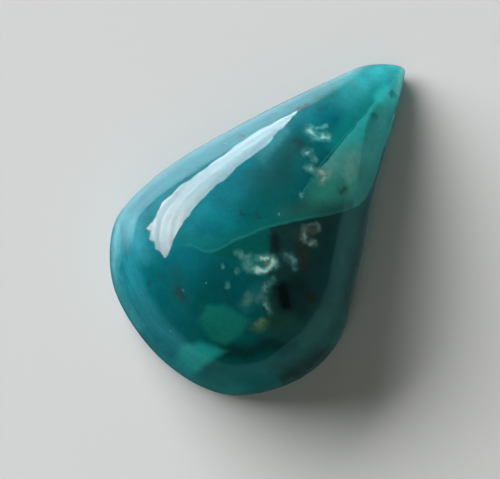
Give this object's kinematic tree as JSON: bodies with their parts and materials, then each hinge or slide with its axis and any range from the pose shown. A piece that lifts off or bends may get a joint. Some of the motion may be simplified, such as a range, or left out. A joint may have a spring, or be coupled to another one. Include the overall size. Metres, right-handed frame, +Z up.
{
  "type": "gem silica cabochon",
  "caption": "Polished teardrop cabochon of translucent teal gem silica, domed over a flat back, with cloudy inclusions and fine healed cracks inside.",
  "frame": {"origin": "centre of the stone's bounding box, on the plane of its flat back", "axes": "+Z up out of the flat back through the dome, +Y along the stone towards its tip, +X across the stone"},
  "size_m": [0.019, 0.0298, 0.0076],
  "materials": {
    "gem_silica": "mirror-polished translucent teal stone with white, brown and black inclusions"
  },
  "bodies": {
    "root": {"gem_silica_cabochon": "gem_silica"}
  },
  "joints": []
}
